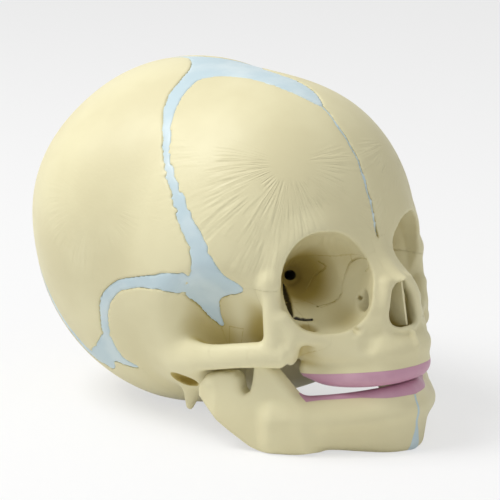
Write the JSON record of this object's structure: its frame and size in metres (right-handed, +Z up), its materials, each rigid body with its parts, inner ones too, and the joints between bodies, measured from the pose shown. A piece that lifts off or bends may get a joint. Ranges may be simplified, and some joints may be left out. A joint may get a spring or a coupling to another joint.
{
  "type": "anatomical skull model",
  "caption": "Life-size skull model of a newborn with separate cranial bones, fontanelle membranes, open orbits, toothless gums and a lower jaw that turns on pins.",
  "frame": {"origin": "bottom centre of the object as it stands on its lower jaw and occiput", "axes": "+Z up, the face looks along -Y, +X is the skull's left side"},
  "size_m": [0.0954, 0.136, 0.1003],
  "materials": {
    "bone": "smooth cast resin, warm ivory, faint sheen",
    "shaded_bone": "smooth cast resin, deeper ivory",
    "membrane": "smooth pale blue-grey, faint sheen",
    "gum": "pink, low gloss",
    "steel": "plain steel wire pin"
  },
  "bodies": {
    "cranium": {"anterior_fontanelle": "membrane", "coronal_suture_L": "membrane", "coronal_suture_R": "membrane", "ethmoid_bone": "shaded_bone", "frontal_bone_L": "bone", "frontal_bone_R": "bone", "frontal_suture": "membrane", "jaw_pin_L": "steel", "jaw_pin_R": "steel", "lambdoid_suture_L": "membrane", "lambdoid_suture_R": "membrane", "mastoid_fontanelle_L": "membrane", "mastoid_fontanelle_R": "membrane", "maxilla_L": "bone", "maxilla_R": "bone", "nasal_bone_L": "bone", "nasal_bone_R": "bone", "nasal_septum": "shaded_bone", "occipital_bone": "bone", "parietal_bone_L": "bone", "parietal_bone_R": "bone", "posterior_fontanelle": "membrane", "sagittal_suture": "membrane", "sphenoid_bone": "shaded_bone", "sphenoidal_fontanelle_L": "membrane", "sphenoidal_fontanelle_R": "membrane", "squamous_suture_L": "membrane", "squamous_suture_R": "membrane", "temporal_bone_L": "bone", "temporal_bone_R": "bone", "upper_gum": "gum", "zygomatic_bone_L": "bone", "zygomatic_bone_R": "bone"},
    "mandible": {"mandible_L": "bone", "mandible_R": "bone", "chin_cartilage": "membrane", "lower_gum": "gum"}
  },
  "joints": [
    {"name": "jaw_hinge", "type": "hinge", "parent": "cranium", "child": "mandible", "pos_m": [0, -0.0228, 0.01798], "axis": [1, 0, 0], "range_deg": [0, 20]}
  ]
}
